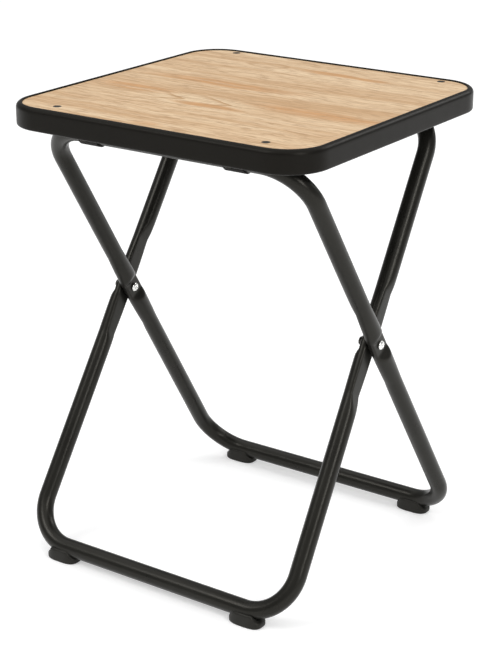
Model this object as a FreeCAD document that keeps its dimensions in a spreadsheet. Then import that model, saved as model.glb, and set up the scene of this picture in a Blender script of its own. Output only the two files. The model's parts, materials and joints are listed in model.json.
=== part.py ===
"""Folding stool: a framed square seat on two alike tube frames that cross and fold like scissors."""
import FreeCAD, Part
import math
import os
import Sketcher

doc = FreeCAD.newDocument("folding_stool")
sheet = doc.addObject("Spreadsheet::Sheet", "sizes")

# Driving dimensions, in millimetres and degrees
SIZES = {
    "seat_side": 310.0,
    "seat_corner": 38.0,
    "seat_height": 428.0,
    "rim_height": 20.2,
    "rim_wall": 5.3,
    "rim_roll": 4.6,
    "rim_edge": 2.0,
    "ledge_reach": 2.6,
    "ledge_thickness": 2.8,
    "ledge_gap": 0.4,
    "panel_thickness": 10.0,
    "panel_sink": 1.2,
    "panel_gap": 0.1,
    "panel_edge": 0.5,
    "tube_diameter": 16.0,
    "hinge_inset": 30.95,
    "cradle_inset": 42.15,
    "frame_inset": 19.15,
    "frame_shift": 4.6,
    "bar_drop": 11.5,
    "pivot_drop": 181.0,
    "leg_splay": 1.2,
    "foot_axis": 13.0,
    "foot_bend": 40.0,
    "top_bend": 40.0,
    "mating_flat": 4.1,
    "mating_reach": 48.0,
    "mating_ramp": 12.0,
    "head_flat": 3.0,
    "head_reach": 9.0,
    "head_ramp": 5.0,
    "screw_diameter": 5.0,
    "running_gap": 0.08,
    "fixed_gap": 0.02,
    "head_diameter": 8.4,
    "head_height": 2.6,
    "head_crown": 1.6,
    "recess_width": 1.1,
    "recess_length": 4.6,
    "recess_depth": 1.2,
    "washer_diameter": 13.0,
    "washer_thickness": 0.6,
    "nut_across": 8.0,
    "nut_height": 3.4,
    "nut_gap": 0.3,
    "collar_diameter": 7.2,
    "collar_height": 1.3,
    "fitting_width": 20.0,
    "fitting_inset": 80.0,
    "fitting_corner": 2.5,
    "base_thickness": 2.4,
    "base_margin": 8.0,
    "base_corner": 3.0,
    "saddle_length": 34.0,
    "strap_thickness": 1.5,
    "strap_bend": 0.8,
    "strap_screw_pitch": 26.8,
    "strap_screw_diameter": 3.0,
    "strap_screw_length": 8.0,
    "strap_head_diameter": 5.4,
    "strap_head_height": 1.6,
    "cradle_gap": 0.3,
    "cradle_wall": 3.2,
    "cradle_lip_drop": 3.0,
    "cradle_front_rise": 5.3,
    "cradle_web": 3.0,
    "cradle_tip": 1.0,
    "panel_screw_diameter": 3.6,
    "panel_screw_head": 7.4,
    "panel_screw_sink": 2.2,
    "panel_screw_short": 0.4,
    "hinge_screw_inset": 48.0,
    "hinge_screw_lead": 8.4,
    "hinge_base_width": 18.0,
    "cradle_screw_inset": 42.0,
    "cradle_screw_edge": 3.6,
    "cradle_base_width": 16.0,
    "glide_inset": 52.0,
    "glide_length": 33.0,
    "glide_width": 19.6,
    "glide_rise": 3.0,
    "glide_corner": 8.8,
    "glide_edge": 1.4,
}

for row, (alias, value) in enumerate(SIZES.items(), start=1):
    sheet.set(f"A{row}", alias)
    sheet.set(f"B{row}", str(value))
    sheet.setAlias(f"B{row}", alias)
doc.recompute()

# Places that several pieces share, as expressions on the sheet
HALF_SEAT = "(sizes.seat_side / 2)"
TUBE_R = "(sizes.tube_diameter / 2)"
SCREW_R = "(sizes.screw_diameter / 2)"
PANEL_TOP = "(sizes.seat_height - sizes.panel_sink)"
UNDERSIDE = f"({PANEL_TOP} - sizes.panel_thickness)"
BAR_Z = f"({UNDERSIDE} - sizes.bar_drop)"
PIVOT_Z = f"({BAR_Z} - sizes.pivot_drop)"
HINGE_Y = f"(sizes.hinge_inset - {HALF_SEAT})"
CRADLE_Y = f"({HALF_SEAT} - sizes.cradle_inset)"
PIVOT_Y = f"(({HINGE_Y} + {CRADLE_Y}) / 2)"
LEAN_RATIO = f"(({CRADLE_Y} - {HINGE_Y}) / 2 / sizes.pivot_drop)"
LEAN_LENGTH = f"sqrt(1 + {LEAN_RATIO} ^ 2)"
TOP_RUN = f"(sizes.pivot_drop * {LEAN_LENGTH})"
FOOT_RUN = f"(({PIVOT_Z} - sizes.foot_axis) * {LEAN_LENGTH})"
FOOT_REACH = f"(({PIVOT_Z} - sizes.foot_axis) * {LEAN_RATIO})"
HALF_SPAN = f"({HALF_SEAT} - sizes.frame_inset)"
FITTING_X = f"({HALF_SEAT} - sizes.fitting_inset)"
LEDGE_EDGE = f"({HALF_SEAT} - sizes.rim_wall - sizes.ledge_reach)"
CRADLE_END = f"({LEDGE_EDGE} - sizes.ledge_gap - {CRADLE_Y})"
SIDES = (("left", -1), ("right", 1))
STRAP_ENDS = (("front", -1), ("rear", 1))
PANEL_SCREWS = (
    ("hinge", f"({HALF_SEAT} - sizes.hinge_screw_inset)", f"({HINGE_Y} - sizes.hinge_screw_lead)"),
    ("cradle", f"({HALF_SEAT} - sizes.cradle_screw_inset)",
     f"({LEDGE_EDGE} - sizes.ledge_gap - sizes.cradle_screw_edge)"),
)

pieces = []


def value_of(expression):
    """Number that an expression on the sheet gives now."""
    result = sheet.evalExpression(expression)
    return float(getattr(result, "Value", result))


def keep(piece, label):
    """Names a finished sub-part, whose label is also its file's name."""
    piece.Label = label
    pieces.append(piece)


def bind(piece, **expressions):
    """Ties properties of a document object to the sheet."""
    for name, expression in expressions.items():
        piece.setExpression(name, expression)


def place(piece, x="0", y="0", z="0", yaw="0", roll="0"):
    """Ties a piece's place, and its turns about Z and then its own X, to the sheet."""
    base = f"create(<<vector>>; {x}; {y}; {z})"
    turn = f"create(<<rotation>>; {yaw}; 0; {roll})"
    piece.setExpression("Placement", f"create(<<placement>>; {base}; {turn})")


def turned(piece, rotation, x, y, z):
    """Sets a fixed turn on a piece and ties its place to the sheet."""
    piece.Placement = FreeCAD.Placement(FreeCAD.Vector(), rotation)
    bind(piece, **{"Placement.Base.x": x, "Placement.Base.y": y, "Placement.Base.z": z})


UPRIGHT = FreeCAD.Rotation()
ALONG_X = FreeCAD.Rotation(FreeCAD.Vector(0, 1, 0), 90)
ALONG_MINUS_X = FreeCAD.Rotation(FreeCAD.Vector(0, 1, 0), -90)


def cylinder(name, radius, height, x, y, z, rotation=UPRIGHT):
    """Cylinder whose base centre is at x, y, z."""
    piece = doc.addObject("Part::Cylinder", name)
    bind(piece, Radius=radius, Height=height)
    turned(piece, rotation, x, y, z)
    return piece


def cone(name, lower, upper, height, x, y, z):
    """Cone on Z whose base centre is at x, y, z."""
    piece = doc.addObject("Part::Cone", name)
    bind(piece, Radius1=lower, Radius2=upper, Height=height)
    turned(piece, UPRIGHT, x, y, z)
    return piece


def cut(name, base, *tools):
    """Base less each tool."""
    result = base
    for index, tool in enumerate(tools):
        step = doc.addObject("Part::Cut", f"{name}_cut{index}")
        step.Base = result
        step.Tool = tool
        result = step
    return result


def fuse(name, *shapes):
    """Several solids as one."""
    step = doc.addObject("Part::MultiFuse", f"{name}_fuse")
    step.Shapes = list(shapes)
    step.Refine = True
    return step


def body_of(name):
    return doc.addObject("PartDesign::Body", name)


def sketch_on(body, role, name, offset=None):
    """Sketch on one of the body's own origin planes, or at an offset along its normal."""
    sketch = body.newObject("Sketcher::SketchObject", name)
    plane = next(feature for feature in body.Origin.OriginFeatures if feature.Role == role)
    sketch.AttachmentSupport = [(plane, "")]
    sketch.MapMode = "FlatFace"
    if offset:
        sketch.setExpression("AttachmentOffset.Base.z", offset)
    return sketch


def dimension(sketch, name, expression, *constraint):
    """Named dimension of a sketch, tied to the sheet."""
    index = sketch.addConstraint(Sketcher.Constraint(*constraint, value_of(expression)))
    sketch.renameConstraint(index, name)
    sketch.setExpression(f"Constraints.{name}", expression)


def hold_on_axis(sketch, item, end, axis):
    """Holds a point of a sketch on its horizontal or vertical axis."""
    number = -1 if axis == "horizontal" else -2
    sketch.addConstraint(Sketcher.Constraint("PointOnObject", item, end, number))


def outline(sketch, corners, arcs=()):
    """Closed outline through corners that are tied to the sheet.

    A side whose end is the corner that arcs names bends about the origin instead, on the upper or lower side
    as its sign says, and the radius then sets that corner's x.
    """
    arcs = dict(arcs)
    ends = [FreeCAD.Vector(value_of(x), value_of(y), 0) for x, y in corners]
    sides = []
    for n, end in enumerate(ends):
        start = ends[n - 1]
        if n in arcs:
            crown = FreeCAD.Vector(0, arcs[n] * start.Length, 0)
            sides.append(sketch.addGeometry(Part.Arc(start, crown, end), False))
        else:
            sides.append(sketch.addGeometry(Part.LineSegment(start, end), False))

    def end_at(side, point):
        return 1 if sketch.getPoint(side, 1).isEqual(point, 1e-6) else 2

    joints = []
    for n, point in enumerate(ends):
        following = sides[(n + 1) % len(sides)]
        joints.append((end_at(sides[n], point), following, end_at(following, point)))
    for n, (x, y) in enumerate(corners):
        here = (sides[n], joints[n][0])
        sketch.addConstraint(Sketcher.Constraint("Coincident", *here, *joints[n][1:]))
        if n in arcs:
            sketch.addConstraint(Sketcher.Constraint("Coincident", sides[n], 3, -1, 1))
        elif x == "0":
            hold_on_axis(sketch, *here, "vertical")
        else:
            dimension(sketch, f"x{n}", x, "DistanceX", -1, 1, *here)
        if y == "0":
            hold_on_axis(sketch, *here, "horizontal")
        else:
            dimension(sketch, f"y{n}", y, "DistanceY", -1, 1, *here)
    return sketch


def rectangle(sketch, left, right, lower, upper):
    return outline(sketch, [(left, lower), (right, lower), (right, upper), (left, upper)])


def circle(sketch, name, radius, x="0", y="0"):
    """Circle with its centre tied to the sheet."""
    centre = FreeCAD.Vector(value_of(x), value_of(y), 0)
    ring = sketch.addGeometry(Part.Circle(centre, FreeCAD.Vector(0, 0, 1), value_of(radius)), False)
    if x == "0":
        hold_on_axis(sketch, ring, 3, "vertical")
    else:
        dimension(sketch, f"{name}_x", x, "DistanceX", -1, 1, ring, 3)
    if y == "0":
        hold_on_axis(sketch, ring, 3, "horizontal")
    else:
        dimension(sketch, f"{name}_y", y, "DistanceY", -1, 1, ring, 3)
    dimension(sketch, f"{name}_radius", radius, "Radius", ring)
    return sketch


def rounded_square(sketch, half, radius):
    """Square about the sketch's origin with its corners rounded by tangent arcs."""
    h = value_of(half)
    r = value_of(radius)
    straight = h - r
    corners = [(1, -1), (1, 1), (-1, 1), (-1, -1)]
    lines = []
    arcs = []
    for turn, (sx, sy) in enumerate(corners):
        px, py = corners[turn - 1]
        across = h if px == sx else straight
        along = h if py == sy else straight
        start = FreeCAD.Vector(across * px, along * py, 0)
        end = FreeCAD.Vector(across * sx, along * sy, 0)
        lines.append(sketch.addGeometry(Part.LineSegment(start, end), False))
        centre = FreeCAD.Vector(straight * sx, straight * sy, 0)
        first = (turn - 1) * math.pi / 2
        corner_circle = Part.Circle(centre, FreeCAD.Vector(0, 0, 1), r)
        arc = Part.ArcOfCircle(corner_circle, first, first + math.pi / 2)
        arcs.append(sketch.addGeometry(arc, False))
    for turn in range(4):
        following = (turn + 1) % 4
        direction = "Horizontal" if turn % 2 == 0 else "Vertical"
        sketch.addConstraint(Sketcher.Constraint("Tangent", lines[turn], 2, arcs[turn], 1))
        sketch.addConstraint(Sketcher.Constraint("Tangent", arcs[turn], 2, lines[following], 1))
        sketch.addConstraint(Sketcher.Constraint(direction, lines[turn]))
        dimension(sketch, f"side{turn}", half, "Distance", -1, 1, lines[turn])
        dimension(sketch, f"corner{turn}", radius, "Radius", arcs[turn])
    return sketch


def pad(body, sketch, length, midplane=False):
    feature = body.newObject("PartDesign::Pad", "pad")
    feature.Profile = sketch
    feature.setExpression("Length", length)
    feature.Midplane = midplane
    doc.recompute()
    return feature


def pocket(body, sketch, length, reverse=False, midplane=False):
    feature = body.newObject("PartDesign::Pocket", "pocket")
    feature.Profile = sketch
    feature.setExpression("Length", length)
    feature.Reversed = reverse
    feature.Midplane = midplane
    doc.recompute()
    return feature


def fillet(body, base, radius, test):
    """Rounds those edges of a feature whose bounding box passes the test."""
    names = [f"Edge{n}" for n, edge in enumerate(base.Shape.Edges, start=1) if test(edge.BoundBox)]
    feature = body.newObject("PartDesign::Fillet", "fillet")
    feature.Base = (base, names)
    feature.setExpression("Radius", radius)
    doc.recompute()
    return feature


def same(first, second):
    return abs(first - second) < 1e-6


def upright(edge):
    """Whether an edge's bounding box is that of a line along Z."""
    return same(edge.XLength, 0) and same(edge.YLength, 0)


def crosswise(edge, y, z):
    """Whether an edge's bounding box is that of a line along X at y and z."""
    return edge.XLength > 1 and same(edge.YLength, 0) and same(edge.YMin, y) and same(edge.ZMin, z)


# Seat panel: a square board with rounded corners, drilled and countersunk for its four screws
def seat_panel():
    body = body_of("panel_board")
    inset = "(sizes.rim_wall + sizes.panel_gap)"
    square = rounded_square(sketch_on(body, "XY_Plane", "panel_outline"),
                            f"{HALF_SEAT} - {inset}", f"sizes.seat_corner - {inset}")
    board = pad(body, square, "sizes.panel_thickness")
    top = board.Shape.BoundBox.ZMax
    fillet(body, board, "sizes.panel_edge", lambda edge: same(edge.ZMin, top))
    place(body, z=UNDERSIDE)
    hole_r = "sizes.panel_screw_diameter / 2 + sizes.fixed_gap"
    head_r = "sizes.panel_screw_head / 2 + sizes.fixed_gap"
    holes = []
    for end, reach, y in PANEL_SCREWS:
        for side, sign in SIDES:
            x = f"{sign} * {reach}"
            holes.append(cylinder(f"{end}_{side}_hole", hole_r, "sizes.panel_thickness", x, y, UNDERSIDE))
            holes.append(cone(f"{end}_{side}_countersink", hole_r, head_r, "sizes.panel_screw_sink",
                              x, y, f"{PANEL_TOP} - sizes.panel_screw_sink"))
    keep(cut("seat_panel", body, *holes), "seat_panel")


# Seat rim: a moulded frame with a rolled top edge, a wall round the panel and a ledge beneath it
def seat_rim():
    body = body_of("seat_rim_body")
    outer = rounded_square(sketch_on(body, "XY_Plane", "rim_outline"), HALF_SEAT, "sizes.seat_corner")
    blank = pad(body, outer, "sizes.rim_height")
    top = blank.Shape.BoundBox.ZMax
    rolled = fillet(body, blank, "sizes.rim_roll", lambda edge: same(edge.ZMin, top))
    fillet(body, rolled, "sizes.rim_edge", lambda edge: same(edge.ZMax, 0))
    ledge_top = "(sizes.rim_height - sizes.panel_sink - sizes.panel_thickness)"
    wall = (f"{HALF_SEAT} - sizes.rim_wall", "sizes.seat_corner - sizes.rim_wall")
    recess = rounded_square(sketch_on(body, "XY_Plane", "panel_recess", ledge_top), *wall)
    pocket(body, recess, "sizes.panel_sink + sizes.panel_thickness", reverse=True)
    hollow = rounded_square(sketch_on(body, "XY_Plane", "rim_hollow"), *wall)
    pocket(body, hollow, f"{ledge_top} - sizes.ledge_thickness", reverse=True)
    opening = rounded_square(sketch_on(body, "XY_Plane", "rim_opening"), LEDGE_EDGE,
                             "sizes.seat_corner - sizes.rim_wall - sizes.ledge_reach")
    pocket(body, opening, ledge_top, reverse=True)
    place(body, z="sizes.seat_height - sizes.rim_height")
    keep(body, "seat_rim")


# Fitting base: a thin tab against the panel that reaches from a fitting out to its panel screw
def fitting_base(body, name, sign, reach, screw_y, front, rear):
    floor = "(sizes.bar_drop - sizes.base_thickness)"
    screw_x = f"{sign} * ({reach} - {FITTING_X})"
    outer = f"{screw_x} + {sign} * sizes.base_margin"
    tab = rectangle(sketch_on(body, "XY_Plane", f"{name}_tab", floor), "0", outer, front, rear)
    plate = pad(body, tab, "sizes.base_thickness")
    tip = value_of(outer)
    fillet(body, plate, "sizes.base_corner", lambda edge: upright(edge) and same(edge.XMin, tip))
    hole = sketch_on(body, "XY_Plane", f"{name}_screw_hole", floor)
    circle(hole, "hole", "sizes.panel_screw_diameter / 2 + sizes.fixed_gap", screw_x, screw_y)
    pocket(body, hole, "sizes.base_thickness", reverse=True)


# Hinge saddle: a moulded block over the hinge bar, with a half bore and a base out to its panel screw
def hinge_saddle(side, sign):
    name = f"saddle_{side}"
    body = body_of(f"{name}_body")
    half = "sizes.saddle_length / 2"
    bore_r = f"{TUBE_R} + sizes.running_gap"
    section = outline(sketch_on(body, "YZ_Plane", f"{name}_section"),
                      [(bore_r, "0"), (half, "0"), (half, "sizes.bar_drop"),
                       (f"-{half}", "sizes.bar_drop"), (f"-{half}", "0"), (f"-({bore_r})", "0")],
                      arcs=[(0, 1)])
    block = pad(body, section, "sizes.fitting_width", midplane=True)
    fillet(body, block, "sizes.fitting_corner", upright)
    reach = PANEL_SCREWS[0][1]
    fitting_base(body, name, sign, reach, "-sizes.hinge_screw_lead",
                 f"-{half}", f"sizes.hinge_base_width - {half}")
    pilots = sketch_on(body, "XY_Plane", f"{name}_strap_pilots")
    for end, way in STRAP_ENDS:
        circle(pilots, end, "sizes.strap_screw_diameter / 2 + sizes.fixed_gap",
               y=f"{way} * sizes.strap_screw_pitch / 2")
    pocket(body, pilots, "sizes.strap_screw_length", reverse=True)
    place(body, f"{sign} * {FITTING_X}", HINGE_Y, BAR_Z)
    keep(body, f"hinge_saddle_{side}")


# Hinge strap: a formed band under the hinge bar that closes the saddle, with a screw before and behind
def hinge_strap(side, sign):
    name = f"strap_{side}"
    body = body_of(f"{name}_body")
    half = "sizes.saddle_length / 2"
    inner_r = f"({TUBE_R} + sizes.running_gap)"
    outer_r = f"({inner_r} + sizes.strap_thickness)"
    bend = f"sqrt({outer_r} ^ 2 - sizes.strap_thickness ^ 2)"
    under = "-sizes.strap_thickness"
    section = outline(sketch_on(body, "YZ_Plane", f"{name}_section"),
                      [(inner_r, "0"), (half, "0"), (half, under), (bend, under), (f"-{bend}", under),
                       (f"-{half}", under), (f"-{half}", "0"), (f"-{inner_r}", "0")],
                      arcs=[(0, -1), (4, -1)])
    band = pad(body, section, "sizes.fitting_width", midplane=True)
    end_y = value_of(half)
    ends = fillet(body, band, "sizes.fitting_corner",
                  lambda edge: upright(edge) and same(abs(edge.YMin), end_y))
    bend_y = value_of(bend)
    bend_z = value_of(under)
    fillet(body, ends, "sizes.strap_bend",
           lambda edge: crosswise(edge, bend_y, bend_z) or crosswise(edge, -bend_y, bend_z))
    holes = sketch_on(body, "XY_Plane", f"{name}_holes")
    for end, way in STRAP_ENDS:
        circle(holes, end, "sizes.strap_screw_diameter / 2 + sizes.fixed_gap",
               y=f"{way} * sizes.strap_screw_pitch / 2")
    pocket(body, holes, "sizes.strap_thickness")
    place(body, f"{sign} * {FITTING_X}", HINGE_Y, BAR_Z)
    keep(body, f"hinge_strap_{side}")


# Strap screw: a low round head under the strap and a shank up into the saddle
def strap_screw(side, sign, end, way):
    name = f"hinge_strap_screw_{side}_{end}"
    body = body_of(f"{name}_body")
    shank_r = "sizes.strap_screw_diameter / 2"
    head_r = "sizes.strap_head_diameter / 2"
    seat = "sizes.strap_head_height"
    tip = "sizes.strap_head_height + sizes.strap_thickness + sizes.strap_screw_length"
    half = outline(sketch_on(body, "XZ_Plane", f"{name}_half"),
                   [("0", "0"), (head_r, "0"), (head_r, seat), (shank_r, seat), (shank_r, tip), ("0", tip)])
    revolve(body, half, "V_Axis")
    place(body, f"{sign} * {FITTING_X}", f"{HINGE_Y} + {way} * sizes.strap_screw_pitch / 2",
          f"{BAR_Z} - sizes.strap_thickness - sizes.strap_head_height")
    keep(body, name)


def revolve(body, sketch, axis):
    """Half section turned a full turn about one of its own axes."""
    feature = body.newObject("PartDesign::Revolution", "revolution")
    feature.Profile = sketch
    feature.ReferenceAxis = (sketch, [axis])
    feature.Angle = 360
    doc.recompute()
    return feature


# Rest cradle: a moulded hook that drops over the other frame's top bar, on a base out to its panel screw
def rest_cradle(side, sign):
    name = f"cradle_{side}"
    body = body_of(f"{name}_body")
    seat_r = f"({TUBE_R} + sizes.cradle_gap)"
    wall = f"({seat_r} + sizes.cradle_wall)"
    rise = "sizes.cradle_front_rise"
    roof = "sizes.bar_drop"
    floor = "(sizes.bar_drop - sizes.base_thickness)"
    lip = "-sizes.cradle_lip_drop"
    front = f"-sqrt({seat_r} ^ 2 - {rise} ^ 2)"
    section = outline(sketch_on(body, "YZ_Plane", f"{name}_section"),
                      [(front, rise), (f"-{wall}", rise), (f"-{wall}", roof), (CRADLE_END, roof),
                       (CRADLE_END, floor), (wall, floor), (wall, lip), (seat_r, lip), (seat_r, "0")],
                      arcs=[(0, 1)])
    hook = pad(body, section, "sizes.fitting_width", midplane=True)
    wall_y = value_of(wall)
    floor_z = value_of(floor)
    webbed = fillet(body, hook, "sizes.cradle_web", lambda edge: crosswise(edge, wall_y, floor_z))
    lip_z = value_of(lip)
    inner_y = value_of(seat_r)
    fillet(body, webbed, "sizes.cradle_tip",
           lambda edge: crosswise(edge, wall_y, lip_z) or crosswise(edge, inner_y, lip_z))
    reach = PANEL_SCREWS[1][1]
    fitting_base(body, name, sign, reach, f"{CRADLE_END} - sizes.cradle_screw_edge",
                 f"{CRADLE_END} - sizes.cradle_base_width", CRADLE_END)
    place(body, f"{sign} * {FITTING_X}", CRADLE_Y, BAR_Z)
    keep(body, f"rest_cradle_{side}")


# Panel screws: countersunk heads flush with the board, down through it into the fittings' bases
def panel_screw(end, side, x, y):
    shank_r = "sizes.panel_screw_diameter / 2"
    head_z = f"({PANEL_TOP} - sizes.panel_screw_sink)"
    tip_z = f"({UNDERSIDE} - sizes.base_thickness + sizes.panel_screw_short)"
    head = cone(f"{end}_{side}_screw_head", shank_r, "sizes.panel_screw_head / 2", "sizes.panel_screw_sink",
                x, y, head_z)
    shank = cylinder(f"{end}_{side}_screw_shank", shank_r, f"{head_z} - {tip_z}", x, y, tip_z)
    keep(fuse(f"{end}_{side}_screw", head, shank), f"{end}_panel_screw_{side}")


# Tube frame: a closed loop of round tube, pressed flat where it meets the other frame and under the fastener
def tube_frame(label, yaw, shift):
    body = swept_loop(f"{label}_loop", TUBE_R, yaw, shift)
    for side, sign in SIDES:
        leg = f"({sign} * {HALF_SPAN})"
        press(body, f"{label}_{side}_mating", leg, 1, "mating")
        press(body, f"{label}_{side}_head", leg, -1, "head")
    bore = circle(sketch_on(body, "YZ_Plane", f"{label}_pivot_bore"), "bore", f"{SCREW_R} + sizes.running_gap")
    pocket(body, bore, f"2 * {HALF_SPAN} + 4 * sizes.tube_diameter", midplane=True)
    keep(body, label)


def swept_loop(name, radius, yaw, shift):
    """Round section swept round the closed path of a frame, leaning about the pivot line."""
    body = body_of(name)
    path = sketch_on(body, "XY_Plane", f"{name}_path")
    loop_path(path)
    section = circle(sketch_on(body, "YZ_Plane", f"{name}_section"), "tube", radius, x=f"-{FOOT_RUN}")
    doc.recompute()
    sweep = body.newObject("PartDesign::AdditivePipe", f"{name}_sweep")
    sweep.Profile = section
    sweep.Spine = path
    place(body, shift, PIVOT_Y, PIVOT_Z, yaw, f"90 - atan({LEAN_RATIO}) / (1 deg)")
    doc.recompute()
    return body


def loop_path(sketch):
    """Rounded trapezoid about the pivot line: foot bar, two splayed legs, top bar and a bend at each corner."""
    splay = math.radians(value_of("sizes.leg_splay"))
    half = value_of(HALF_SPAN)
    foot = value_of(FOOT_RUN)
    top = value_of(TOP_RUN)
    foot_x = half + math.tan(splay) * foot
    top_x = half - math.tan(splay) * top
    points = [FreeCAD.Vector(-foot_x, -foot, 0), FreeCAD.Vector(foot_x, -foot, 0),
              FreeCAD.Vector(top_x, top, 0), FreeCAD.Vector(-top_x, top, 0)]
    bends = ["sizes.foot_bend", "sizes.foot_bend", "sizes.top_bend", "sizes.top_bend"]
    entries = []
    exits = []
    arcs = []
    for n, corner in enumerate(points):
        before = (points[n - 1] - corner).normalize()
        after = (points[(n + 1) % 4] - corner).normalize()
        radius = value_of(bends[n])
        half_angle = before.getAngle(after) / 2
        run = radius / math.tan(half_angle)
        inward = (before + after).normalize()
        middle = corner + inward * (radius / math.sin(half_angle) - radius)
        entries.append(corner + before * run)
        exits.append(corner + after * run)
        arcs.append(sketch.addGeometry(Part.Arc(entries[n], middle, exits[n]), False))
    lines = [sketch.addGeometry(Part.LineSegment(exits[n - 1], entries[n]), False) for n in range(4)]
    for n in range(4):
        sketch.addConstraint(Sketcher.Constraint("Tangent", lines[n], 2, arcs[n], 1))
        sketch.addConstraint(Sketcher.Constraint("Tangent", arcs[n], 2, lines[(n + 1) % 4], 1))
        dimension(sketch, f"bend{n}", bends[n], "Radius", arcs[n])
    left_leg, foot_bar, right_leg, top_bar = lines
    sketch.addConstraint(Sketcher.Constraint("Horizontal", foot_bar))
    sketch.addConstraint(Sketcher.Constraint("Horizontal", top_bar))
    dimension(sketch, "foot_run", FOOT_RUN, "Distance", -1, 1, foot_bar)
    dimension(sketch, "top_run", TOP_RUN, "Distance", -1, 1, top_bar)
    for name, leg in (("left", left_leg), ("right", right_leg)):
        clear = f"{HALF_SPAN} * cos(sizes.leg_splay * 1 deg)"
        dimension(sketch, f"{name}_leg", clear, "Distance", -1, 1, leg)
    dimension(sketch, "left_splay", "90 + sizes.leg_splay", "Angle", foot_bar, 1, left_leg, 2)
    dimension(sketch, "right_splay", "90 + sizes.leg_splay", "Angle", right_leg, 1, foot_bar, 2)


def press(body, name, leg, side, kind):
    """Presses one side of a leg flat about the pivot: a straight floor with a slope at each end."""
    flat = f"sizes.{kind}_flat"
    reach = f"sizes.{kind}_reach"
    floor = f"({leg} + {side} * {flat})"
    rim = f"({leg} + {side} * sizes.tube_diameter)"
    steepness = f"sizes.{kind}_ramp / ({TUBE_R} - {flat})"
    slope = f"({reach} + {steepness} * (sizes.tube_diameter - {flat}))"
    wedge = outline(sketch_on(body, "XY_Plane", name),
                    [(floor, f"-{reach}"), (rim, f"-{slope}"), (rim, slope), (floor, reach)])
    pocket(body, wedge, "2 * sizes.tube_diameter", midplane=True)


# Pivot screw: a pan head with a crossed recess on the rear frame's outer flat, and a shank through both legs
def pivot_screw(side, rear_leg, front_leg):
    name = f"pivot_screw_{side}"
    body = body_of(f"{name}_body")
    head_r = "sizes.head_diameter / 2"
    grip = f"{rear_leg} - {front_leg} + 2 * sizes.head_flat + sizes.nut_gap"
    tip = f"-({grip} + sizes.nut_height + sizes.collar_height)"
    half = outline(sketch_on(body, "XY_Plane", f"{name}_half"),
                   [(tip, "0"), ("sizes.head_height", "0"), ("sizes.head_height", head_r), ("0", head_r),
                    ("0", SCREW_R), (tip, SCREW_R)])
    turned_screw = revolve(body, half, "H_Axis")
    crown_x = value_of("sizes.head_height")
    fillet(body, turned_screw, "sizes.head_crown",
           lambda edge: same(edge.XMin, crown_x) and same(edge.XLength, 0))
    length = "sizes.recess_length / 2"
    width = "sizes.recess_width / 2"
    for slot, along, up in (("level", length, width), ("upright", width, length)):
        recess = sketch_on(body, "YZ_Plane", f"{name}_{slot}_slot", "sizes.head_height")
        rectangle(recess, f"-{along}", along, f"-{up}", up)
        pocket(body, recess, "sizes.recess_depth")
    place(body, f"{rear_leg} + sizes.head_flat", PIVOT_Y, PIVOT_Z)
    keep(body, name)


# Pivot washer and lock nut: a plain disc between the two flats, and a hexagon with a round collar behind
def pivot_washer(side, rear_leg):
    x = f"({rear_leg} - sizes.mating_flat - sizes.washer_thickness)"
    disc = cylinder(f"washer_disc_{side}", "sizes.washer_diameter / 2", "sizes.washer_thickness",
                    x, PIVOT_Y, PIVOT_Z, ALONG_X)
    eye = cylinder(f"washer_eye_{side}", f"{SCREW_R} + sizes.running_gap", "sizes.washer_thickness",
                   x, PIVOT_Y, PIVOT_Z, ALONG_X)
    keep(cut(f"washer_{side}", disc, eye), f"pivot_washer_{side}")


def pivot_nut(side, front_leg):
    x = f"({front_leg} - sizes.head_flat - sizes.nut_gap)"
    hexagon = doc.addObject("Part::Prism", f"nut_hexagon_{side}")
    hexagon.Polygon = 6
    bind(hexagon, Circumradius="sizes.nut_across / 2 / cos(30 deg)", Height="sizes.nut_height")
    turned(hexagon, ALONG_MINUS_X, x, PIVOT_Y, PIVOT_Z)
    total = "sizes.nut_height + sizes.collar_height"
    collar = cylinder(f"nut_collar_{side}", "sizes.collar_diameter / 2", total,
                      x, PIVOT_Y, PIVOT_Z, ALONG_MINUS_X)
    thread = cylinder(f"nut_thread_{side}", f"{SCREW_R} + sizes.fixed_gap", total,
                      x, PIVOT_Y, PIVOT_Z, ALONG_MINUS_X)
    keep(cut(f"nut_{side}", fuse(f"nut_{side}", hexagon, collar), thread), f"pivot_nut_{side}")


# Glide: a moulded foot that clips up round the foot bar and stands flat on the floor
def glide(label, x, y, channel):
    body = body_of(f"{label}_body")
    half_length = "sizes.glide_length / 2"
    half_width = "sizes.glide_width / 2"
    sole = rectangle(sketch_on(body, "XY_Plane", f"{label}_sole"),
                     f"-{half_length}", half_length, f"-{half_width}", half_width)
    block = pad(body, sole, "sizes.foot_axis + sizes.glide_rise")
    rounded = fillet(body, block, "sizes.glide_corner", upright)
    fillet(body, rounded, "sizes.glide_edge", lambda edge: same(edge.ZMax, 0))
    place(body, x, y)
    keep(cut(label, body, channel), label)


seat_panel()
seat_rim()
for side, sign in SIDES:
    hinge_saddle(side, sign)
    hinge_strap(side, sign)
    for end, way in STRAP_ENDS:
        strap_screw(side, sign, end, way)
    rest_cradle(side, sign)
    for end, reach, y in PANEL_SCREWS:
        panel_screw(end, side, f"{sign} * {reach}", y)
    rear_leg = f"({sign} * {HALF_SPAN} + sizes.frame_shift)"
    front_leg = f"({sign} * {HALF_SPAN} - sizes.frame_shift)"
    pivot_screw(side, rear_leg, front_leg)
    pivot_washer(side, rear_leg)
    pivot_nut(side, front_leg)

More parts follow.
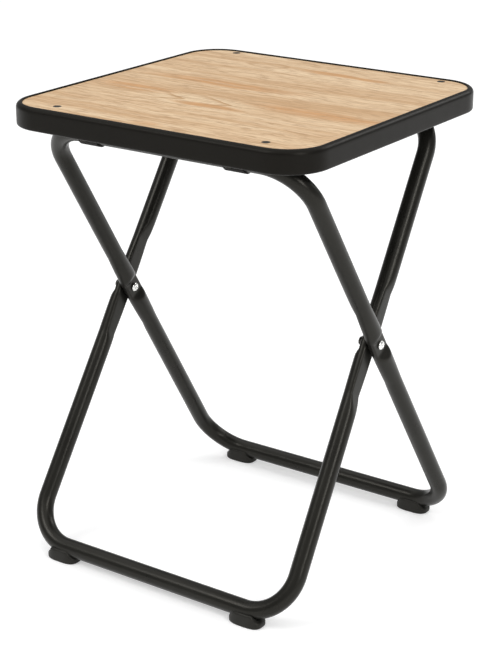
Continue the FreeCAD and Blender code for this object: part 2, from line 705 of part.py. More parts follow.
# The two frames are one part made twice: the rear one is turned half a turn about the upright
for frame, yaw, way in (("front", "0", -1), ("rear", "180", 1)):
    shift = f"{way} * sizes.frame_shift"
    tube_frame(f"{frame}_leg_frame", yaw, shift)
    channel = swept_loop(f"{frame}_glide_channel", f"{TUBE_R} + sizes.fixed_gap", yaw, shift)
    for side, sign in SIDES:
        glide(f"{frame}_glide_{side}", f"{sign} * ({HALF_SEAT} - sizes.glide_inset) + {shift}",
              f"{PIVOT_Y} + {way} * {FOOT_REACH}", channel)

doc.recompute()
for item in doc.Objects:
    if "Invalid" in item.State or "Error" in item.State:
        raise RuntimeError(f"{item.Label} failed: {item.State}")
for piece in pieces:
    if piece.Shape.isNull() or not piece.Shape.isValid():
        raise RuntimeError(f"{piece.Label} has no valid shape")

os.makedirs("parts", exist_ok=True)
for piece in pieces:
    piece.Shape.exportStep(os.path.join("parts", f"{piece.Label}.step"))
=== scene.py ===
"""Looks of the folding stool: satin black tube and rim, a light oak panel and bright pivot heads."""
import json
import math

import bmesh
import bpy
import numpy as np
from mathutils import Matrix, Vector


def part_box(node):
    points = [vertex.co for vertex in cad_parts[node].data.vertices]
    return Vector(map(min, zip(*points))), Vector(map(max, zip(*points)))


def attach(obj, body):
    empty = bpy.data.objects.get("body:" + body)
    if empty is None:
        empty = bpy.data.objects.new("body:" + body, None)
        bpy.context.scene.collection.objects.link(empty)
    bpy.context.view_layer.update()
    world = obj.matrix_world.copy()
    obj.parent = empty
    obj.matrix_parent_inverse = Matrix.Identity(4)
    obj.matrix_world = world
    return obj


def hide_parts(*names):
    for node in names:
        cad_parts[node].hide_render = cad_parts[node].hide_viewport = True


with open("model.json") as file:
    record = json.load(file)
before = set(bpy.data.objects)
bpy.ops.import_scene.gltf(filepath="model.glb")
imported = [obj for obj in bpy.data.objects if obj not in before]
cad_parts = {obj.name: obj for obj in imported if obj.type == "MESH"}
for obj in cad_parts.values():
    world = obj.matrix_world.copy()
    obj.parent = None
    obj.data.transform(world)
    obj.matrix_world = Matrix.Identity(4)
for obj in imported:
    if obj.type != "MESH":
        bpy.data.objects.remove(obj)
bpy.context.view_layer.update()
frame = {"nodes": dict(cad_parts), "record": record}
joints = {joint["name"]: joint for joint in frame["record"]["behaviour"]["joints"]}

# Tube frames: two alike closed loops of 16 mm steel tube, bent on a former and welded shut,
# powder coated satin black. Each leg is pressed flat where the loops cross and under its fastener.
TUBE_RADIUS = 0.008
FOOT_AXIS = 0.013
HALF_SPAN = 0.13585
FRAME_SHIFT = 0.0046
BEND_RADIUS = 0.040
SPLAY = math.tan(math.radians(1.2))
MATING_FLAT = 0.0041
MATING_REACH = 0.048
MATING_RAMP = 0.012
HEAD_FLAT = 0.0030
HEAD_REACH = 0.009
HEAD_RAMP = 0.005
PRESS_SOFTNESS = 0.0012
PRESS_SPREAD = 0.20
PRESS_END = 0.09
TUBE_STEP = 0.0022
TUBE_AROUND = 40
WELD = 0.000001
WARM_GLOSS = (1.0, 0.96, 0.86, 1)
pivot = np.array(joints["leg_fold"]["pos_m"])
hinge = np.array(joints["seat_hinge"]["pos_m"])
leg_up = np.array([0.0, pivot[1] - hinge[1], hinge[2] - pivot[2]])
leg_up = leg_up / np.linalg.norm(leg_up)


def rounded_path(corners, radius, step):
    """Closed polygon whose corners are tangent arcs, as even points with outward normals in its plane.

    Each corner's arc starts radius / tan(half the corner's angle) from the corner, and the straight runs
    join the arcs. A normal is the direction from an arc's centre, carried on along the runs."""
    points = []
    normals = []
    arcs = []
    for index, corner in enumerate(corners):
        before = corners[index - 1] - corner
        after = corners[(index + 1) % len(corners)] - corner
        before = before / np.linalg.norm(before)
        after = after / np.linalg.norm(after)
        half = math.acos(float(before @ after)) / 2
        middle = (before + after) / np.linalg.norm(before + after)
        centre = corner + middle * radius / math.sin(half)
        start = corner + before * radius / math.tan(half) - centre
        turn = math.pi - 2 * half
        angle = np.linspace(0, turn, max(int(turn * radius / step), 8))
        first = math.atan2(start[1], start[0])
        normal = np.stack([np.cos(first + angle), np.sin(first + angle)], axis=1)
        arcs.append((centre + radius * normal, normal))
    for index, (arc, normal) in enumerate(arcs):
        following = arcs[(index + 1) % len(arcs)][0]
        count = max(int(np.linalg.norm(following[0] - arc[-1]) / step), 2)
        share = np.linspace(0, 1, count, endpoint=False)[1:, None]
        points.extend([arc, arc[-1] + (following[0] - arc[-1]) * share])
        normals.extend([normal, np.repeat(normal[-1:], len(share), axis=0)])
    return np.concatenate(points), np.concatenate(normals)


def grid_mesh(name, grid, close_u=True, close_v=True):
    """Smooth mesh of quads over a grid of points, closed or open along each of its two directions.

    Points that fall together, as at a pole, are welded into one."""
    rows, columns = grid.shape[:2]
    u = np.arange(rows if close_u else rows - 1)
    v = np.arange(columns if close_v else columns - 1)
    u, v = np.meshgrid(u, v, indexing="ij")
    u_next = (u + 1) % rows
    v_next = (v + 1) % columns
    here = u * columns + v
    beside = u_next * columns + v
    across = u_next * columns + v_next
    above = u * columns + v_next
    quads = np.stack([here, beside, across, above], axis=-1)
    mesh = bpy.data.meshes.new(name)
    mesh.from_pydata(grid.reshape(-1, 3), [], quads.reshape(-1, 4).tolist())
    shell = bmesh.new()
    shell.from_mesh(mesh)
    bmesh.ops.remove_doubles(shell, verts=shell.verts, dist=WELD)
    shell.to_mesh(mesh)
    shell.free()
    mesh.shade_smooth()
    mesh.update()
    piece = bpy.data.objects.new(name, mesh)
    bpy.context.collection.objects.link(piece)
    return piece


def soft_least(a, b, softness):
    """Lesser of two values, with the corner between them rounded off."""
    return 0.5 * (a + b - np.sqrt((a - b) ** 2 + softness ** 2))


def tube_loop(name, way):
    """Round section carried along the frame's closed path, then pressed flat on both sides of each pivot.

    In the frame's plane x runs along the pivot line and q up the leg. Near the pivot x is kept under a floor
    that is level within the flat's reach and rises at the ramp's slope beyond it, and the section spreads
    sideways by a share that fades out along the reach. way is 1 for the frame that leans back going up,
    and -1 for its twin, turned half a turn about the upright."""
    cosine = leg_up[2]
    sine = leg_up[1]
    foot = -(pivot[2] - FOOT_AXIS) / cosine
    top = (hinge[2] - pivot[2]) / cosine
    foot_x = HALF_SPAN - SPLAY * foot
    top_x = HALF_SPAN - SPLAY * top
    corners = np.array([[-foot_x, foot], [foot_x, foot], [top_x, top], [-top_x, top]])
    path, normal = rounded_path(corners, BEND_RADIUS, TUBE_STEP)
    angle = np.linspace(0, 2 * math.pi, TUBE_AROUND, endpoint=False)
    x = path[:, None, 0] + TUBE_RADIUS * normal[:, None, 0] * np.cos(angle)
    q = path[:, None, 1] + TUBE_RADIUS * normal[:, None, 1] * np.cos(angle)
    out = TUBE_RADIUS * np.sin(angle) + 0 * x
    mating_slope = (TUBE_RADIUS - MATING_FLAT) / MATING_RAMP
    head_slope = (TUBE_RADIUS - HEAD_FLAT) / HEAD_RAMP
    mating_floor = MATING_FLAT + mating_slope * np.maximum(np.abs(q) - MATING_REACH, 0)
    head_floor = HEAD_FLAT + head_slope * np.maximum(np.abs(q) - HEAD_REACH, 0)
    widened = 1 + PRESS_SPREAD * np.clip(1 - (q / MATING_REACH) ** 2, 0, 1)
    out = out * widened
    for side in (-1, 1):
        leg = side * HALF_SPAN
        near = np.abs(x - leg) < 2 * TUBE_RADIUS
        pressed = leg + soft_least(x - leg, mating_floor, PRESS_SOFTNESS)
        pressed = leg - soft_least(leg - pressed, head_floor, PRESS_SOFTNESS)
        x = np.where(near & (np.abs(q) < PRESS_END), pressed, x)
    points = np.stack([
        way * x - way * FRAME_SHIFT,
        pivot[1] + way * (q * sine - out * cosine),
        pivot[2] + q * cosine + out * sine,
    ], axis=-1)
    return grid_mesh(name, points)


def new_finish(name, colour, roughness):
    """Empty material with its shader's plain values set, and a shorthand to add and join nodes in it."""
    material = bpy.data.materials.new(name)
    material.use_nodes = True
    tree = material.node_tree
    shader = tree.nodes["Principled BSDF"]
    shader.inputs["Base Color"].default_value = (*colour, 1)
    shader.inputs["Roughness"].default_value = roughness

    def node(kind, values=None, **settings):
        added = tree.nodes.new(kind)
        for key, value in settings.items():
            setattr(added, key, value)
        for key, value in (values or {}).items():
            if isinstance(value, bpy.types.NodeSocket):
                tree.links.new(value, added.inputs[key])
            else:
                added.inputs[key].default_value = value
        return added.outputs

    return material, shader, node, tree.links


def powder_coat():
    """Satin black coat: a fine orange-peel bump, slow drifts of gloss, and a trace of dust in the colour."""
    coat, shader, node, links = new_finish("satin_black_powder_coat", (0.012, 0.0115, 0.0098), 0.36)
    shader.inputs["Specular IOR Level"].default_value = 0.24
    shader.inputs["Specular Tint"].default_value = WARM_GLOSS
    place = node("ShaderNodeTexCoord")["Object"]
    peel = node("ShaderNodeTexNoise", {"Vector": place, "Scale": 1400.0, "Detail": 2.0})["Fac"]
    drift = node("ShaderNodeTexNoise", {"Vector": place, "Scale": 38.0, "Detail": 4.0})["Fac"]
    gloss = node("ShaderNodeMapRange", {"Value": drift, "To Min": 0.24, "To Max": 0.33})["Result"]
    links.new(gloss, shader.inputs["Roughness"])
    tint = node("ShaderNodeValToRGB", {"Fac": drift})
    ramp = tint["Color"].node.color_ramp
    ramp.elements[0].position = 0.3
    ramp.elements[0].color = (0.0095, 0.0092, 0.0079, 1)
    ramp.elements[1].position = 0.75
    ramp.elements[1].color = (0.0140, 0.0136, 0.0117, 1)
    links.new(tint["Color"], shader.inputs["Base Color"])
    bump = node("ShaderNodeBump", {"Height": peel, "Strength": 0.12, "Distance": 0.0002})["Normal"]
    links.new(bump, shader.inputs["Normal"])
    return coat


tube_coat = powder_coat()
for body, node_name, way in (("front_frame", "front_leg_frame", 1), ("rear_frame", "rear_leg_frame", -1)):
    loop = tube_loop(f"{body}_tube", way)
    loop.data.materials.append(tube_coat)
    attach(loop, body)
    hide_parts(node_name)

# Pivot fasteners: bright nickel pan-head screws with a cross recess, black zinc washers between
# the frames, and black zinc lock nuts on the far ends of the screws.
HEAD_RADIUS = 0.0042
HEAD_HEIGHT = 0.0026
SHANK_RADIUS = 0.0025
RECESS_HALF = 0.0024
RECESS_WIDTH = 0.0007
RECESS_DEPTH = 0.0013
RECESS_WALL = 0.0003
RECESS_END = 0.0006
CROWN_SHARE = 0.62
CROWN_POWER = 2.4
TIP_LENGTH = 0.0005
TIP_SHARE = 0.8


def recess_arm(along, aside):
    """Share of the recess's depth in one arm: full within its half width and length, with sloped walls."""
    wall = np.clip((RECESS_WIDTH - np.abs(aside)) / RECESS_WALL, 0, 1)
    end = np.clip((RECESS_HALF - np.abs(along)) / RECESS_END, 0, 1)
    return wall * end


def pan_head_screw(name, box_low, box_high):
    """Profile turned about the screw's own axis along X, with a cross pressed into the crown.

    The profile runs from the crown's middle over its rim, under the head and along the shank to its end.
    The cross lowers the crown where the distance to either arm is under its half width."""
    crown = np.linspace(0, 1, 26)
    crown_rho = HEAD_RADIUS * np.sin(crown * math.pi / 2)
    fall = 1 - np.sqrt(np.maximum(1 - (crown_rho / HEAD_RADIUS) ** CROWN_POWER, 0))
    crown_x = box_high[0] - CROWN_SHARE * HEAD_HEIGHT * fall
    seat_x = box_high[0] - HEAD_HEIGHT
    tip_x = box_low[0]
    tip_rho = SHANK_RADIUS * TIP_SHARE
    rho = np.concatenate([crown_rho, [HEAD_RADIUS, SHANK_RADIUS, SHANK_RADIUS, tip_rho, 0.0]])
    along = np.concatenate([crown_x, [seat_x, seat_x, tip_x + TIP_LENGTH, tip_x, tip_x]])
    angle = np.linspace(0, 2 * math.pi, 64, endpoint=False)
    y = rho[:, None] * np.cos(angle)
    z = rho[:, None] * np.sin(angle)
    x = along[:, None] + 0 * y
    arm_y = recess_arm(y, z)
    arm_z = recess_arm(z, y)
    on_crown = (np.arange(len(rho)) < len(crown))[:, None]
    x = x - on_crown * RECESS_DEPTH * np.maximum(arm_y, arm_z)
    centre_y = (box_low[1] + box_high[1]) / 2
    centre_z = (box_low[2] + box_high[2]) / 2
    return grid_mesh(name, np.stack([x, centre_y + y, centre_z + z], axis=-1), close_u=False)


def plated(name, colour, roughness, scratch):
    """Plated steel: full metal, faint turned scratches across the colour and gloss."""
    finish, shader, node, links = new_finish(name, colour, roughness)
    shader.inputs["Metallic"].default_value = 1.0
    place = node("ShaderNodeTexCoord")["Object"]
    wear = node("ShaderNodeTexNoise", {"Vector": place, "Scale": 900.0, "Detail": 3.0})["Fac"]
    smooth = roughness - 0.06
    rough = roughness + 0.1
    gloss = node("ShaderNodeMapRange", {"Value": wear, "To Min": smooth, "To Max": rough})["Result"]
    links.new(gloss, shader.inputs["Roughness"])
    bump = node("ShaderNodeBump", {"Height": wear, "Strength": scratch, "Distance": 0.0001})["Normal"]
    links.new(bump, shader.inputs["Normal"])
    return finish


def dress(node_name, finish):
    """Give a CAD node one finish of its own."""
    finishes = frame["nodes"][node_name].data.materials
    finishes.clear()
    finishes.append(finish)


nickel = plated("bright_nickel_plate", (0.86, 0.86, 0.84), 0.2, 0.05)
black_zinc = plated("black_zinc", (0.045, 0.042, 0.038), 0.36, 0.12)
for side in ("left", "right"):
    screw = pan_head_screw(f"pivot_head_{side}", *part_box(f"pivot_screw_{side}"))
    screw.data.materials.append(nickel)
    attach(screw, "rear_frame")
    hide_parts(f"pivot_screw_{side}")
    dress(f"pivot_washer_{side}", black_zinc)
    dress(f"pivot_nut_{side}", black_zinc)

# Glides: moulded black polypropylene feet, clipped up round the foot bars.
# The sole is flat on the floor, a cheek before and behind holds the tube, and the ends are low and open.
GLIDE_SQUARENESS = 3.0
GLIDE_EDGE = 0.0014
CHEEK_TOP = 0.0128
CHEEK_ROUND = 0.0022
CHEEK_HALF = 0.0085
CHEEK_FALL = 0.0060
END_TOP = 0.0066


def moulded(name, colour, roughness, shine, grain_scale, grain):
    """Moulded plastic: a spark-eroded grain in the bump and a slow drift of gloss."""
    plastic, shader, node, links = new_finish(name, colour, roughness)
    shader.inputs["Specular IOR Level"].default_value = shine
    shader.inputs["Specular Tint"].default_value = WARM_GLOSS
    place = node("ShaderNodeTexCoord")["Object"]
    spark = node("ShaderNodeTexNoise", {"Vector": place, "Scale": grain_scale, "Detail": 3.0})["Fac"]
    drift = node("ShaderNodeTexNoise", {"Vector": place, "Scale": 60.0, "Detail": 3.0})["Fac"]
    smooth = roughness - 0.05
    rough = roughness + 0.07
    gloss = node("ShaderNodeMapRange", {"Value": drift, "To Min": smooth, "To Max": rough})["Result"]
    links.new(gloss, shader.inputs["Roughness"])
    bump = node("ShaderNodeBump", {"Height": spark, "Strength": grain, "Distance": 0.0002})["Normal"]
    links.new(bump, shader.inputs["Normal"])
    return plastic


def glide_foot(name, low, high):
    """Superellipse outline shrunk and raised ring by ring: sole, round edge, wall, round lip, tube channel.

    The lip's height is level along the cheek's half length and falls smoothly to the end's height beyond it.
    Inside the lip the top is the lesser of the lip's height and the underside of the tube above it."""
    middle = (low + high) / 2
    reach = (high - low) / 2
    angle = np.linspace(0, 2 * math.pi, 96, endpoint=False)
    outline = np.stack([np.cos(angle), np.sin(angle)])
    outline = np.sign(outline) * np.abs(outline) ** (2 / GLIDE_SQUARENESS) * reach[:2, None]
    bow = np.linspace(0, math.pi / 2, 6)
    edge_share = 1 - GLIDE_EDGE / reach[1] * (1 - np.sin(bow))
    lip_share = 1 - CHEEK_ROUND / reach[1] * (1 - np.cos(bow))
    inner_share = np.array([0.72, 0.66, 0.58, 0.5, 0.4, 0.28, 0.14, 0.0])
    share = np.concatenate([[0.0, 0.45, 0.75], edge_share, [1.0], lip_share, inner_share])
    x = share[:, None] * outline[0]
    y = share[:, None] * outline[1]
    fall = np.clip((np.abs(x) - CHEEK_HALF) / CHEEK_FALL, 0, 1)
    lip = CHEEK_TOP - (CHEEK_TOP - END_TOP) * fall * fall * (3 - 2 * fall)
    under = FOOT_AXIS - np.sqrt(np.maximum(TUBE_RADIUS ** 2 - y ** 2, 0))
    z = np.minimum(lip, under)
    sole = slice(0, 3)
    edge = slice(3, 9)
    wall = 9
    rolled = slice(10, 16)
    z[sole] = 0.0
    z[edge] = (GLIDE_EDGE * (1 - np.cos(bow)))[:, None]
    z[wall] = 0.5 * (GLIDE_EDGE + lip[wall] - CHEEK_ROUND)
    z[rolled] = lip[rolled] - (CHEEK_ROUND * (1 - np.sin(bow)))[:, None]
    points = np.stack([middle[0] + x, middle[1] + y, low[2] + z], axis=-1)
    return grid_mesh(name, points[:, ::-1], close_u=False)


glide_plastic = moulded("glide_plastic", (0.010, 0.010, 0.0092), 0.46, 0.3, 1800.0, 0.2)
for end in ("front", "rear"):
    for side in ("left", "right"):
        glide = glide_foot(f"{end}_glide_foot_{side}", *map(np.array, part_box(f"{end}_glide_{side}")))
        glide.data.materials.append(glide_plastic)
        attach(glide, f"{end}_frame")
        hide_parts(f"{end}_glide_{side}")

# Seat rim: one moulded frame of satin black plastic with a rolled top edge, a wall round the panel
# and a ledge that the panel rests on.
rim_low, rim_high = (np.array(corner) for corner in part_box("seat_rim"))
RIM_CORNER = 0.038
RIM_WALL = 0.0053
RIM_ROLL = 0.0046
RIM_EDGE = 0.0020
RIM_STEP = 0.004
LEDGE_REACH = 0.0026
LEDGE_THICKNESS = 0.0028
PANEL_SINK = 0.0012
PANEL_THICKNESS = 0.010


def quarter(centre, radius, start, count):
    """Quarter circle in the rim's section, from the start angle on, counted in quarter turns."""
    angle = (start + np.linspace(0, 1, count)) * math.pi / 2
    return np.stack([centre[0] + radius * np.cos(angle), centre[1] + radius * np.sin(angle)], axis=1)


def rim_section():
    """Rim's section, once round from the foot of the wall: depth in from the outer face, and height."""
    base = rim_low[2]
    crest = rim_high[2]
    ledge_top = crest - PANEL_SINK - PANEL_THICKNESS
    inner_round = RIM_WALL - RIM_ROLL
    runs = [
        quarter((RIM_EDGE, base + RIM_EDGE), RIM_EDGE, 3, 7) * [-1, 1] + [2 * RIM_EDGE, 0],
        [[0.0, base + share * (crest - RIM_ROLL - base)] for share in (0.3, 0.6, 0.9)],
        quarter((RIM_ROLL, crest - RIM_ROLL), -RIM_ROLL, 0, 14) * [1, -1] + [0, 2 * (crest - RIM_ROLL)],
        quarter((RIM_WALL - inner_round, crest - inner_round), inner_round, 0, 5)[-2::-1],
        [[RIM_WALL, crest - PANEL_SINK], [RIM_WALL, ledge_top]],
        [[RIM_WALL + LEDGE_REACH, ledge_top], [RIM_WALL + LEDGE_REACH, ledge_top - LEDGE_THICKNESS]],
        [[RIM_WALL, ledge_top - LEDGE_THICKNESS], [RIM_WALL, base]],
    ]
    return np.concatenate([np.asarray(run, float) for run in runs])


half_side = rim_high[0]
square = half_side * np.array([[-1.0, -1.0], [1.0, -1.0], [1.0, 1.0], [-1.0, 1.0]])
rim_path, rim_normal = rounded_path(square, RIM_CORNER, RIM_STEP)
section = rim_section()
rim_points = np.concatenate([
    rim_path[:, None, :] - rim_normal[:, None, :] * section[None, :, :1],
    np.broadcast_to(section[None, :, 1:], (len(rim_path), len(section), 1)),
], axis=-1)
rim = grid_mesh("seat_rim_moulding", rim_points)
rim_plastic = moulded("satin_black_rim", (0.0078, 0.0070, 0.0059), 0.36, 0.11, 1500.0, 0.08)
rim.data.materials.append(rim_plastic)
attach(rim, "seat")
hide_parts("seat_rim")

# Seat panel: a 10 mm board faced with a light oak print, its grain along the hinge bar.
# It drops into the rim and four countersunk screws hold it to the fittings below.
# Its back is plain and dark.
PALE_OAK = (0.800, 0.600, 0.385, 1)
TAN_OAK = (0.610, 0.390, 0.208, 1)
FIBRE_BROWN = (0.520, 0.310, 0.150, 1)
LIT_OAK = (0.860, 0.680, 0.465, 1)
ARCH_OAK = (0.840, 0.660, 0.440, 1)
ARCH_LINE = (0.470, 0.260, 0.110, 1)
WARM_OAK = (0.600, 0.305, 0.120, 1)
RING_BROWN = (0.500, 0.290, 0.130, 1)
DASH_BROWN = (0.430, 0.255, 0.125, 1)
PORE_BROWN = (0.400, 0.235, 0.115, 1)
BOARD_BACK = (0.030, 0.028, 0.026, 1)
ARCH_PLACE = (-0.022, -0.046)
ARCH_REACH = (0.072, 0.024)
ARCH_START = 0.034
ARCH_SLOPE = 2.1
ARCHES_PER_METRE = 20.0
KNOT_PLACE = (-0.054, 0.110)
KNOT_REACH = (0.024, 0.0115)
SWAY = 0.013
RIPPLE_RATE = 1180.0
RIPPLE_BREAK = 9.0
WARM_PATCHES = (
    ((-0.100, -0.030), (0.052, 0.0125)),
    ((-0.004, -0.057), (0.046, 0.0075)),
    ((-0.010, -0.135), (0.020, 0.0060)),
    ((0.018, 0.110), (0.042, 0.0080)),
    ((0.060, 0.109), (0.022, 0.0070)),
    ((0.095, -0.030), (0.090, 0.0130)),
    ((-0.040, 0.022), (0.100, 0.0120)),
)
board_low, board_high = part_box("seat_panel")
board_middle = (board_low[2] + board_high[2]) / 2


def oak_face():
    """Plain-sawn oak print: pale and tan bands, fibres, dashes and short pores, drawn out along the grain.

    Bands, fibres, dashes and pores are noise stretched along X, and the ripple is a sine across the grain
    that the fibres break up. The cathedral figure is a set of V lines: the fraction of the distance along
    X plus a share of the distance from the figure's middle line, inside a soft oval. Warm patches are soft
    ovals broken up by the fibres. Below the board's middle height all of it gives way to the plain back."""
    oak, shader, node, links = new_finish("light_oak_print", (0.73, 0.51, 0.30), 0.45)
    shader.inputs["Specular IOR Level"].default_value = 0.3
    place = node("ShaderNodeTexCoord")["Object"]

    def maths(operation, first, second=0.0):
        return node("ShaderNodeMath", {0: first, 1: second}, operation=operation)["Value"]

    def share(value, low, high, most=1.0):
        limits = {"Value": value, "From Min": low, "From Max": high, "To Max": most}
        return node("ShaderNodeMapRange", limits)["Result"]

    def blended(amount, under, over):
        return node("ShaderNodeMix", {"Factor": amount, 6: under, 7: over}, data_type="RGBA")[2]

    def stretched(along, across, detail, offset):
        drawn_out = {"Vector": wavy, "Scale": (along, across, 1.0), "Location": (offset, 0, 0)}
        mapped = node("ShaderNodeMapping", drawn_out)["Vector"]
        return node("ShaderNodeTexNoise", {"Vector": mapped, "Scale": 1.0, "Detail": detail})["Fac"]

    def oval(centre, reach):
        fitted = node("ShaderNodeMapping", {
            "Vector": wavy,
            "Scale": (1 / reach[0], 1 / reach[1], 0.0),
            "Location": (-centre[0] / reach[0], -centre[1] / reach[1], 0.0),
        })
        return node("ShaderNodeVectorMath", {0: fitted["Vector"]}, operation="LENGTH")["Value"]

    sway = node("ShaderNodeTexNoise", {"Vector": place, "Scale": 14.0, "Detail": 2.0})["Fac"]
    bend = maths("MULTIPLY", maths("SUBTRACT", sway, 0.5), SWAY)
    shift = node("ShaderNodeCombineXYZ", {"Y": bend})["Vector"]
    wavy = node("ShaderNodeVectorMath", {0: place, 1: shift}, operation="ADD")["Vector"]
    axes = node("ShaderNodeSeparateXYZ", {"Vector": wavy})

    band = stretched(3.2, 62.0, 3.0, 1.3)
    fibre = stretched(10.0, 360.0, 4.0, 0.0)
    pore = stretched(70.0, 640.0, 2.0, 5.0)
    dash = stretched(48.0, 440.0, 3.0, 9.0)
    broken = maths("MULTIPLY", fibre, RIPPLE_BREAK)
    ripple = maths("SINE", maths("ADD", maths("MULTIPLY", axes["Y"], RIPPLE_RATE), broken))
    tan = share(band, 0.40, 0.70)
    ground = blended(tan, PALE_OAK, TAN_OAK)
    fibred = blended(share(fibre, 0.47, 0.72, 0.50), ground, FIBRE_BROWN)
    lit = blended(share(fibre, 0.47, 0.26, 0.50), fibred, LIT_OAK)

    aside = maths("ABSOLUTE", maths("SUBTRACT", axes["Y"], ARCH_PLACE[1]))
    along = maths("ADD", maths("ADD", axes["X"], ARCH_START), maths("MULTIPLY", aside, ARCH_SLOPE))
    arch = maths("FRACT", maths("MULTIPLY", along, ARCHES_PER_METRE))
    figure = share(oval(ARCH_PLACE, ARCH_REACH), 1.0, 0.5)
    arched = blended(maths("MULTIPLY", figure, 0.7), lit, ARCH_OAK)
    line = maths("MULTIPLY", figure, share(arch, 0.74, 0.95, 0.9))
    lined = blended(line, arched, ARCH_LINE)

    warm = lined
    for centre, reach in WARM_PATCHES:
        patch = maths("MULTIPLY", share(oval(centre, reach), 1.0, 0.5), share(fibre, 0.26, 0.52, 0.85))
        warm = blended(patch, warm, WARM_OAK)
    knot = oval(KNOT_PLACE, KNOT_REACH)
    ring = maths("MULTIPLY", share(knot, 0.62, 0.80, 0.5), share(knot, 1.0, 0.86))
    ringed = blended(ring, warm, RING_BROWN)
    rippled = blended(share(ripple, 0.1, 1.0, 0.20), ringed, DASH_BROWN)
    dashed = blended(share(dash, 0.52, 0.66, 0.42), rippled, DASH_BROWN)
    pored = blended(share(pore, 0.52, 0.64, 0.62), dashed, PORE_BROWN)
    height = node("ShaderNodeSeparateXYZ", {"Vector": place})["Z"]
    face = maths("GREATER_THAN", height, board_middle)
    backed = blended(face, BOARD_BACK, pored)
    links.new(backed, shader.inputs["Base Color"])
    gloss = node("ShaderNodeMapRange", {"Value": fibre, "To Min": 0.40, "To Max": 0.56})["Result"]
    links.new(gloss, shader.inputs["Roughness"])
    bump = node("ShaderNodeBump", {"Height": pore, "Strength": 0.18, "Distance": 0.0002})["Normal"]
    links.new(bump, shader.inputs["Normal"])
    return oak


dress("seat_panel", oak_face())

# Panel screws: black zinc countersunk screws, driven flush with the board.
# Two go into the hinge saddles at the front and two into the rest cradles at the back.
for end in ("hinge", "cradle"):
    for side in ("left", "right"):
        dress(f"{end}_panel_screw_{side}", black_zinc)

# Seat fittings: moulded black hinge saddles and rest cradles under the panel, and pressed steel
# straps, coated black, that close the saddles round the hinge bar with two short screws each.
strap_coat = moulded("matt_black_strap", (0.0070, 0.0066, 0.0058), 0.55, 0.1, 1200.0, 0.15)
fitting_plastic = moulded("fitting_plastic", (0.010, 0.0098, 0.0090), 0.48, 0.3, 1600.0, 0.2)
for side in ("left", "right"):
    dress(f"hinge_saddle_{side}", fitting_plastic)
    dress(f"rest_cradle_{side}", fitting_plastic)
    dress(f"hinge_strap_{side}", strap_coat)
    for end in ("front", "rear"):
        dress(f"hinge_strap_screw_{side}_{end}", black_zinc)

# Studio: a white floor that runs far out in a grey room, and an even skylight overhead.
# A soft lamp stands before the stool on each side and a third one behind it.
FLOOR_HALF = 120.0
FLOOR_WHITE = 0.80
FLOOR_GLOW = 0.36
ROOM_GREY = 0.34
SKYLIGHT = 1.42
SKY_SPREAD = math.radians(100)
STOOL_MIDDLE = (0, 0, 0.25)


def white_floor():
    """Matt white floor. What it lacks to white is a glow, only for rays from the camera or off a gloss."""
    paint, shader, node, links = new_finish("white_floor", (FLOOR_WHITE, FLOOR_WHITE, FLOOR_WHITE), 0.9)
    shader.inputs["Specular IOR Level"].default_value = 0.0
    shader.inputs["Emission Color"].default_value = (1, 1, 1, 1)
    path = node("ShaderNodeLightPath")
    seen = node("ShaderNodeMath", {0: path["Is Camera Ray"], 1: path["Is Glossy Ray"]}, operation="MAXIMUM")
    seen = seen["Value"]
    seen = node("ShaderNodeMath", {0: seen, 1: path["Is Transmission Ray"]}, operation="MAXIMUM")["Value"]
    glow = node("ShaderNodeMath", {0: seen, 1: FLOOR_GLOW}, operation="MULTIPLY")["Value"]
    links.new(glow, shader.inputs["Emission Strength"])
    return paint


floor_points = FLOOR_HALF * np.array([
    [[-1.0, -1.0, 0.0], [-1.0, 1.0, 0.0]],
    [[1.0, -1.0, 0.0], [1.0, 1.0, 0.0]],
])
floor = grid_mesh("floor", floor_points, close_u=False, close_v=False)
floor.data.materials.append(white_floor())

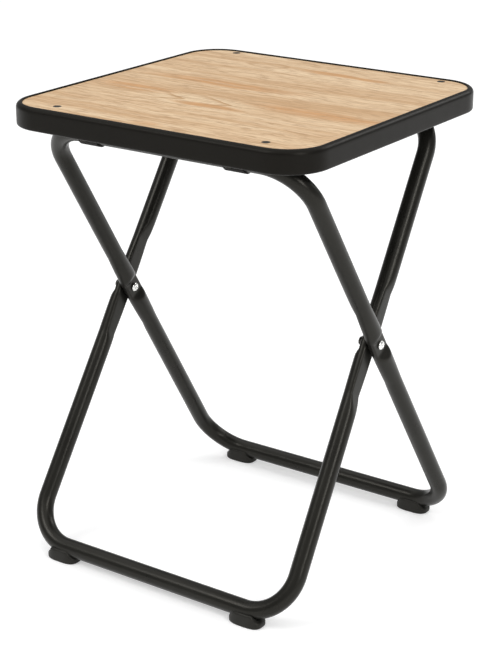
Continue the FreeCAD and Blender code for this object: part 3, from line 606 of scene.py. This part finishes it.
world = bpy.data.worlds.new("grey_room")
bpy.context.scene.world = world
world.use_nodes = True
surround = world.node_tree.nodes["Background"]
surround.inputs["Color"].default_value = (1, 1, 1, 1)
surround.inputs["Strength"].default_value = ROOM_GREY


def soft_lamp(name, place, width, height, glow):
    """Area lamp at a place, turned to the stool's middle, with its power worked out from its brightness."""
    light = bpy.data.lights.new(name, "AREA")
    light.shape = "RECTANGLE"
    light.size = width
    light.size_y = height
    light.energy = glow * math.pi * width * height
    lamp = bpy.data.objects.new(name, light)
    lamp.location = place
    lamp.rotation_euler = (Vector(STOOL_MIDDLE) - Vector(place)).to_track_quat("-Z", "Y").to_euler()
    bpy.context.collection.objects.link(lamp)


skylight = bpy.data.lights.new("skylight", "SUN")
skylight.energy = SKYLIGHT
skylight.angle = SKY_SPREAD
bpy.context.collection.objects.link(bpy.data.objects.new("skylight", skylight))
soft_lamp("left_strip", place=(-1.05, -1.75, 2.2), width=0.9, height=1.1, glow=6.0)
soft_lamp("right_strip", place=(2.25, -1.0, 1.55), width=0.5, height=1.5, glow=9.5)
soft_lamp("rear_lamp", place=(0.9, 2.1, 1.6), width=1.0, height=0.8, glow=4.0)

# Camera: the photograph's place and angle, fitted to the stool's leg lines, rim edges and foot bars.
# The lens's middle is on the picture's middle.
PICTURE_HEIGHT = 650
FOCAL_PIXELS = 1717.52
SENSOR = 36.0
CAMERA_PLACE = (0.838554, -1.223758, 0.760258)
CAMERA_YAW = 0.603386
CAMERA_PITCH = 0.354691
CAMERA_ROLL = 0.002279
camera_data = bpy.data.cameras.new("camera")
camera_data.sensor_fit = "VERTICAL"
camera_data.sensor_height = SENSOR
camera_data.lens = SENSOR * FOCAL_PIXELS / PICTURE_HEIGHT
camera = bpy.data.objects.new("camera", camera_data)
turn = Matrix.Rotation(CAMERA_YAW, 4, "Z") @ Matrix.Rotation(math.pi / 2 - CAMERA_PITCH, 4, "X")
turn = turn @ Matrix.Rotation(CAMERA_ROLL, 4, "Z")
camera.matrix_world = Matrix.Translation(CAMERA_PLACE) @ turn
bpy.context.collection.objects.link(camera)
bpy.context.scene.camera = camera
bpy.context.scene.view_settings.view_transform = "Standard"
